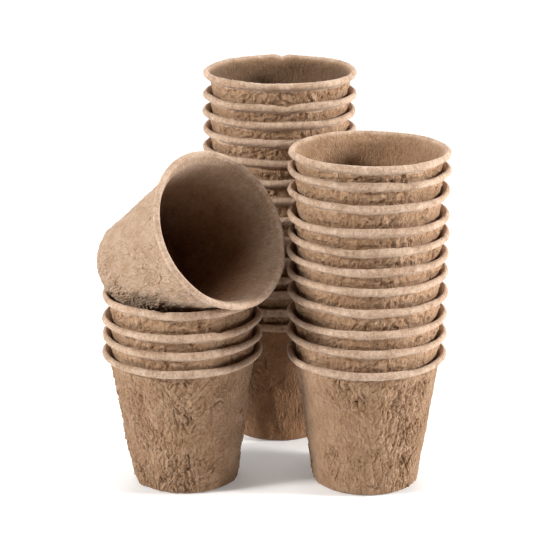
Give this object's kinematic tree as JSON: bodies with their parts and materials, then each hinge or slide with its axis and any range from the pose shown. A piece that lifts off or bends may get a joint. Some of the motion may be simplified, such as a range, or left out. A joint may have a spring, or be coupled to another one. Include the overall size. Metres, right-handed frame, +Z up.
{
  "type": "peat pot set",
  "caption": "Round moulded-fibre seedling pots with rolled rims, nested in three stacks, one pot lying across a stack's mouth.",
  "frame": {"origin": "on the floor under the middle of the whole set", "axes": "+Z up, +X towards the right stack, +Y towards the back stack"},
  "size_m": [0.1742, 0.1724, 0.1964],
  "materials": {
    "fibre": "matte"
  },
  "bodies": {
    "right_pot_1": {"right_pot_1": "fibre"},
    "right_pot_2": {"right_pot_2": "fibre"},
    "right_pot_3": {"right_pot_3": "fibre"},
    "right_pot_4": {"right_pot_4": "fibre"},
    "right_pot_5": {"right_pot_5": "fibre"},
    "right_pot_6": {"right_pot_6": "fibre"},
    "right_pot_7": {"right_pot_7": "fibre"},
    "right_pot_8": {"right_pot_8": "fibre"},
    "right_pot_9": {"right_pot_9": "fibre"},
    "right_pot_10": {"right_pot_10": "fibre"},
    "right_pot_11": {"right_pot_11": "fibre"},
    "left_pot_1": {"left_pot_1": "fibre"},
    "left_pot_2": {"left_pot_2": "fibre"},
    "left_pot_3": {"left_pot_3": "fibre"},
    "left_pot_4": {"left_pot_4": "fibre"},
    "back_pot_1": {"back_pot_1": "fibre"},
    "back_pot_2": {"back_pot_2": "fibre"},
    "back_pot_3": {"back_pot_3": "fibre"},
    "back_pot_4": {"back_pot_4": "fibre"},
    "back_pot_5": {"back_pot_5": "fibre"},
    "back_pot_6": {"back_pot_6": "fibre"},
    "back_pot_7": {"back_pot_7": "fibre"},
    "back_pot_8": {"back_pot_8": "fibre"},
    "back_pot_9": {"back_pot_9": "fibre"},
    "back_pot_10": {"back_pot_10": "fibre"},
    "back_pot_11": {"back_pot_11": "fibre"},
    "back_pot_12": {"back_pot_12": "fibre"},
    "back_pot_13": {"back_pot_13": "fibre"},
    "back_pot_14": {"back_pot_14": "fibre"},
    "tipped_pot": {"tipped_pot": "fibre"}
  },
  "joints": [
    {"name": "right_pot_2_lift", "type": "slide", "parent": "right_pot_1", "child": "right_pot_2", "axis": [0, 0, 1], "range_m": [0, 0.07]},
    {"name": "right_pot_3_lift", "type": "slide", "parent": "right_pot_2", "child": "right_pot_3", "axis": [0, 0, 1], "range_m": [0, 0.07]},
    {"name": "right_pot_4_lift", "type": "slide", "parent": "right_pot_3", "child": "right_pot_4", "axis": [0, 0, 1], "range_m": [0, 0.07]},
    {"name": "right_pot_5_lift", "type": "slide", "parent": "right_pot_4", "child": "right_pot_5", "axis": [0, 0, 1], "range_m": [0, 0.07]},
    {"name": "right_pot_6_lift", "type": "slide", "parent": "right_pot_5", "child": "right_pot_6", "axis": [0, 0, 1], "range_m": [0, 0.07]},
    {"name": "right_pot_7_lift", "type": "slide", "parent": "right_pot_6", "child": "right_pot_7", "axis": [0, 0, 1], "range_m": [0, 0.07]},
    {"name": "right_pot_8_lift", "type": "slide", "parent": "right_pot_7", "child": "right_pot_8", "axis": [0, 0, 1], "range_m": [0, 0.07]},
    {"name": "right_pot_9_lift", "type": "slide", "parent": "right_pot_8", "child": "right_pot_9", "axis": [0, 0, 1], "range_m": [0, 0.07]},
    {"name": "right_pot_10_lift", "type": "slide", "parent": "right_pot_9", "child": "right_pot_10", "axis": [0, 0, 1], "range_m": [0, 0.07]},
    {"name": "right_pot_11_lift", "type": "slide", "parent": "right_pot_10", "child": "right_pot_11", "axis": [0, 0, 1], "range_m": [0, 0.07]},
    {"name": "left_pot_2_lift", "type": "slide", "parent": "left_pot_1", "child": "left_pot_2", "axis": [0, 0, 1], "range_m": [0, 0.07]},
    {"name": "left_pot_3_lift", "type": "slide", "parent": "left_pot_2", "child": "left_pot_3", "axis": [0, 0, 1], "range_m": [0, 0.07]},
    {"name": "left_pot_4_lift", "type": "slide", "parent": "left_pot_3", "child": "left_pot_4", "axis": [0, 0, 1], "range_m": [0, 0.07]},
    {"name": "back_pot_2_lift", "type": "slide", "parent": "back_pot_1", "child": "back_pot_2", "axis": [0, 0, 1], "range_m": [0, 0.07]},
    {"name": "back_pot_3_lift", "type": "slide", "parent": "back_pot_2", "child": "back_pot_3", "axis": [0, 0, 1], "range_m": [0, 0.07]},
    {"name": "back_pot_4_lift", "type": "slide", "parent": "back_pot_3", "child": "back_pot_4", "axis": [0, 0, 1], "range_m": [0, 0.07]},
    {"name": "back_pot_5_lift", "type": "slide", "parent": "back_pot_4", "child": "back_pot_5", "axis": [0, 0, 1], "range_m": [0, 0.07]},
    {"name": "back_pot_6_lift", "type": "slide", "parent": "back_pot_5", "child": "back_pot_6", "axis": [0, 0, 1], "range_m": [0, 0.07]},
    {"name": "back_pot_7_lift", "type": "slide", "parent": "back_pot_6", "child": "back_pot_7", "axis": [0, 0, 1], "range_m": [0, 0.07]},
    {"name": "back_pot_8_lift", "type": "slide", "parent": "back_pot_7", "child": "back_pot_8", "axis": [0, 0, 1], "range_m": [0, 0.07]},
    {"name": "back_pot_9_lift", "type": "slide", "parent": "back_pot_8", "child": "back_pot_9", "axis": [0, 0, 1], "range_m": [0, 0.07]},
    {"name": "back_pot_10_lift", "type": "slide", "parent": "back_pot_9", "child": "back_pot_10", "axis": [0, 0, 1], "range_m": [0, 0.07]},
    {"name": "back_pot_11_lift", "type": "slide", "parent": "back_pot_10", "child": "back_pot_11", "axis": [0, 0, 1], "range_m": [0, 0.07]},
    {"name": "back_pot_12_lift", "type": "slide", "parent": "back_pot_11", "child": "back_pot_12", "axis": [0, 0, 1], "range_m": [0, 0.07]},
    {"name": "back_pot_13_lift", "type": "slide", "parent": "back_pot_12", "child": "back_pot_13", "axis": [0, 0, 1], "range_m": [0, 0.07]},
    {"name": "back_pot_14_lift", "type": "slide", "parent": "back_pot_13", "child": "back_pot_14", "axis": [0, 0, 1], "range_m": [0, 0.07]},
    {"name": "left_stack_lift", "type": "slide", "parent": "right_pot_1", "child": "left_pot_1", "axis": [0, 0, 1], "range_m": [0, 0.2]},
    {"name": "back_stack_lift", "type": "slide", "parent": "right_pot_1", "child": "back_pot_1", "axis": [0, 0, 1], "range_m": [0, 0.2]},
    {"name": "tipped_pot_lift", "type": "slide", "parent": "left_pot_4", "child": "tipped_pot", "axis": [0, 0, 1], "range_m": [0, 0.12]}
  ]
}
